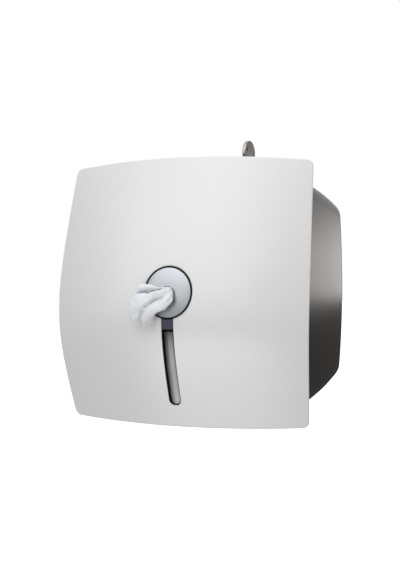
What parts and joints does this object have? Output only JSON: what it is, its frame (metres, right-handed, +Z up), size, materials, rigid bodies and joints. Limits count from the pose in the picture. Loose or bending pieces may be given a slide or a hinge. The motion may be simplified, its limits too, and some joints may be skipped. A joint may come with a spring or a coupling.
{
  "type": "centrefeed roll dispenser",
  "caption": "Wall-mounted centrefeed paper roll dispenser: a domed panel on a tapered cover that swings down, with a round nozzle, a level window and a key lock.",
  "frame": {"origin": "centre of the wall plate's back face, level with the nozzle", "axes": "-Y is the front that the user faces, +X is to the right seen from the front, +Z is up"},
  "size_m": [0.3086, 0.2645, 0.3354],
  "materials": {
    "white_gloss_panel": "smooth glossy white moulding",
    "dark_metallic_shell": "dark warm grey with a metallic sheen",
    "dark_wall_plate": "plain dark moulding",
    "black_gloss": "polished black",
    "satin_silver": "satin silver",
    "grey_moulding": "plain grey moulding",
    "smoked_window": "smoked, glossy and see-through only against light",
    "slate_satin": "satin slate grey",
    "zinc_steel": "zinc-plated steel",
    "chrome_lock": "polished chrome",
    "white_tissue": "soft white tissue"
  },
  "bodies": {
    "wall": {"wall_plate": "dark_wall_plate", "lock_keeper": "zinc_steel", "keeper_screw_left": "zinc_steel", "keeper_screw_right": "zinc_steel", "hinge_pin_left": "zinc_steel", "hinge_pin_right": "zinc_steel"},
    "cover": {"front_panel": "white_gloss_panel", "cover_shell": "dark_metallic_shell", "panel_screw_bottom_left": "zinc_steel", "panel_screw_top_left": "zinc_steel", "panel_screw_bottom_right": "zinc_steel", "panel_screw_top_right": "zinc_steel", "window_screw_left": "zinc_steel", "window_screw_right": "zinc_steel", "nozzle_ring": "black_gloss", "nozzle_locknut": "grey_moulding", "feed_funnel": "grey_moulding", "window_bezel": "black_gloss", "level_window": "smoked_window", "window_cap": "slate_satin", "lock_barrel": "chrome_lock", "lock_nut": "zinc_steel", "roll_cradle": "grey_moulding", "paper_roll": "white_tissue", "tissue_tail": "white_tissue"},
    "nozzle": {"nozzle_disc": "satin_silver"},
    "lock": {"lock_plug": "chrome_lock", "lock_cam": "zinc_steel", "cam_screw": "zinc_steel"},
    "key_body": {"key": "zinc_steel"}
  },
  "joints": [
    {"name": "cover_swing", "type": "hinge", "parent": "wall", "child": "cover", "pos_m": [0, -0.016, -0.1048], "axis": [1, 0, 0], "range_deg": [0, 80]},
    {"name": "nozzle_turn", "type": "hinge", "parent": "cover", "child": "nozzle", "pos_m": [0, -0.24417, 0], "axis": [0, -0.9945, 0.1045], "range_deg": [0, 40]},
    {"name": "lock_turn", "type": "hinge", "parent": "cover", "child": "lock", "pos_m": [0, -0.018, 0.14], "axis": [0, 0, -1], "range_deg": [0, 90]},
    {"name": "key_slide", "type": "slide", "parent": "lock", "child": "key_body", "axis": [0, 0, 1], "range_m": [0, 0.0225]}
  ]
}
